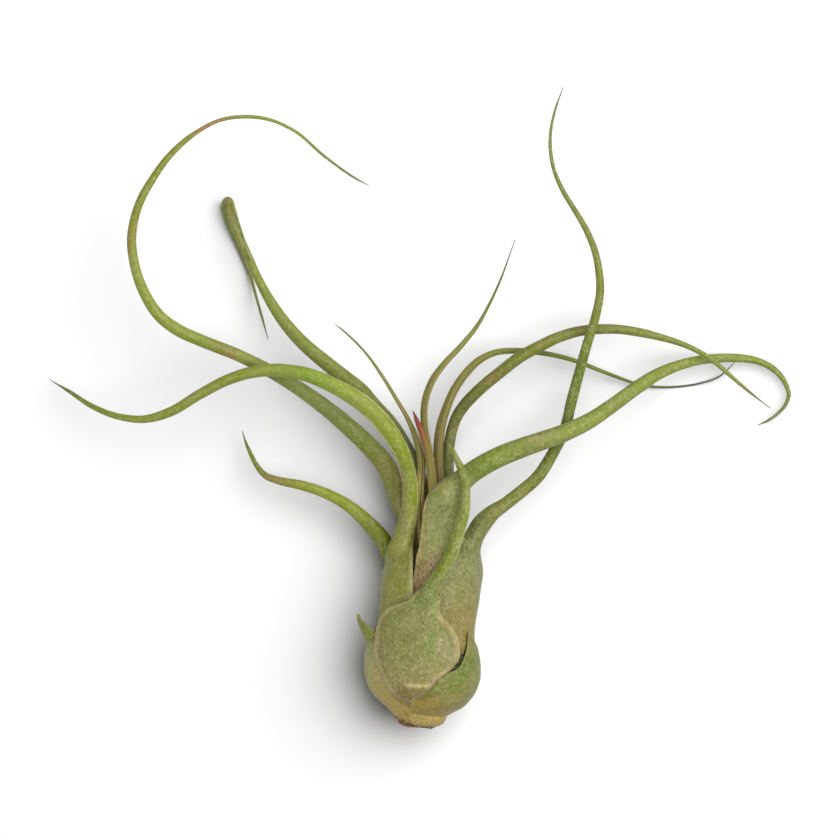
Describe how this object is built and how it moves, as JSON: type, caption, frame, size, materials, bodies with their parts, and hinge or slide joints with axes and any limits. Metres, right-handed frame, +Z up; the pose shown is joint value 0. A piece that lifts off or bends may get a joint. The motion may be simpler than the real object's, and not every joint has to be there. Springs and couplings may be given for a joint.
{
  "type": "air plant",
  "caption": "Bulbous air plant lying free: overlapping leaf sheaths round a swollen base and long, thin, rolled leaves that arch and curl out of it.",
  "frame": {"origin": "on the surface the plant lies on, at the flat spot under the bulb", "axes": "+Z up from the surface, +Y from the root end towards the leaf ends, +X to the right as the plant is seen from above"},
  "size_m": [0.2231, 0.1934, 0.0353],
  "materials": {
    "leaf": "living leaf, olive green with fine grey scales, smooth and slightly satin",
    "sheath": "living leaf sheath, mottled grey green with fine grey scales and a pale dry margin",
    "young_leaf": "thin young leaf, brownish olive with pale margins",
    "bud": "young flower bract, red and purple at its point and olive at its foot",
    "stem": "short stem, yellow ochre and fibrous",
    "dry_root": "dry root stubs, dark brown with pale ragged ends"
  },
  "bodies": {
    "root": {"stem_base": "stem", "dry_roots": "dry_root", "flower_bud": "bud", "leaf_front_short": "sheath", "sheath_left_short": "sheath", "sheath_right_short": "sheath", "leaf_left_low": "leaf", "leaf_left_arch": "leaf", "leaf_right_tall": "leaf", "leaf_right_long": "leaf", "leaf_left_loop": "leaf", "leaf_right_arch": "leaf", "leaf_left_folded": "leaf", "leaf_thin_right": "young_leaf", "leaf_thin_middle": "young_leaf", "leaf_thin_left": "young_leaf"}
  },
  "joints": []
}
